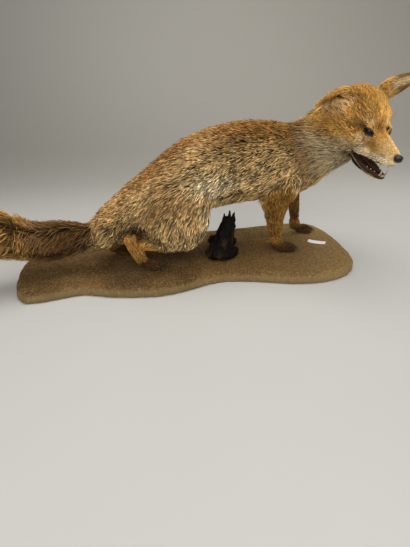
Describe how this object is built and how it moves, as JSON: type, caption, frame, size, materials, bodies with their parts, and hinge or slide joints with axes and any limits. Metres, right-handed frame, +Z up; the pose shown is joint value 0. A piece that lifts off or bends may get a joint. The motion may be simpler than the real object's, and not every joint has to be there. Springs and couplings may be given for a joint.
{
  "type": "taxidermy red fox",
  "caption": "Life-size mounted red fox, crouching on its hind legs with its head turned and mouth open, on a sand-textured board with a bark stump.",
  "frame": {"origin": "middle of the board's outline, on its underside, which is the floor", "axes": "+X towards the fox's front, +Y to its left, +Z up"},
  "size_m": [0.9817, 0.3437, 0.3949],
  "materials": {
    "sand_board": "matte",
    "bark": "matte",
    "paper": "matte",
    "eye_glass": "gloss",
    "bare_skin": "satin",
    "mouth_lining": "satin",
    "coat_head": "matte",
    "coat_body": "matte",
    "coat_legs": "matte",
    "coat_tail": "matte",
    "tooth": "gloss",
    "claw": "satin",
    "whisker": "matte"
  },
  "bodies": {
    "root": {"base": "sand_board", "stump": "bark", "label": "paper", "eye_left": "eye_glass", "eye_right": "eye_glass", "nose": "bare_skin", "lower_jaw": "bare_skin", "tongue": "mouth_lining", "head": "coat_head", "ear_left": "coat_head", "ear_right": "coat_head", "trunk": "coat_body", "neck": "coat_body", "forepaw_right": "coat_legs", "foreleg_right": "coat_legs", "forepaw_left": "coat_legs", "foreleg_left": "coat_legs", "thigh_right": "coat_body", "hindpaw_right": "coat_legs", "shank_right": "coat_legs", "thigh_left": "coat_body", "hindpaw_left": "coat_legs", "shank_left": "coat_legs", "tail_root": "coat_tail", "tail_middle": "coat_tail", "tail_tip": "coat_tail"}
  },
  "joints": []
}
